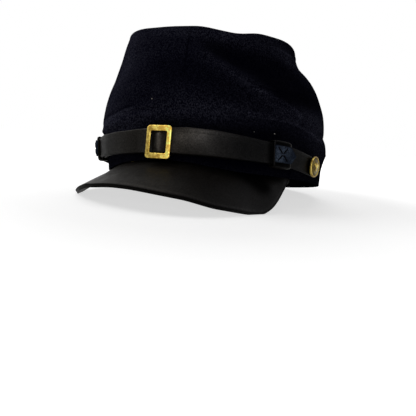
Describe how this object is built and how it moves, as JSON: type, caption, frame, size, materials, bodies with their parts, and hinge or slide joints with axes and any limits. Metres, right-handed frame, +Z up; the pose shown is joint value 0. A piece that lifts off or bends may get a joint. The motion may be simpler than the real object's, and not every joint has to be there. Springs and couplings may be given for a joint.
{
  "type": "kepi cap",
  "caption": "Soft wool forage kepi with a slumped crown, sunken round top, leather peak and a buckled two-layer chin strap.",
  "frame": {"origin": "centre of the bounding box in X and Y, at the surface the cap rests on", "axes": "+Z up, the peak points towards -Y, +X is the wearer's left"},
  "size_m": [0.1896, 0.248, 0.13],
  "materials": {
    "wool": "dark navy woollen broadcloth with a short nap",
    "peak_leather": "smooth black leather, half matte",
    "strap_leather": "blackened strap leather, lightly grained",
    "tab_leather": "worn blue-grey leather",
    "brass": "aged brass"
  },
  "bodies": {
    "root": {"crown_body": "wool", "crown_top": "wool", "band": "wool", "peak": "peak_leather", "strap_outer": "strap_leather", "strap_inner": "strap_leather", "buckle": "brass", "keeper_left": "strap_leather", "keeper_right": "strap_leather", "tab_left": "tab_leather", "tab_right": "tab_leather", "button_left": "brass", "button_right": "brass"}
  },
  "joints": []
}
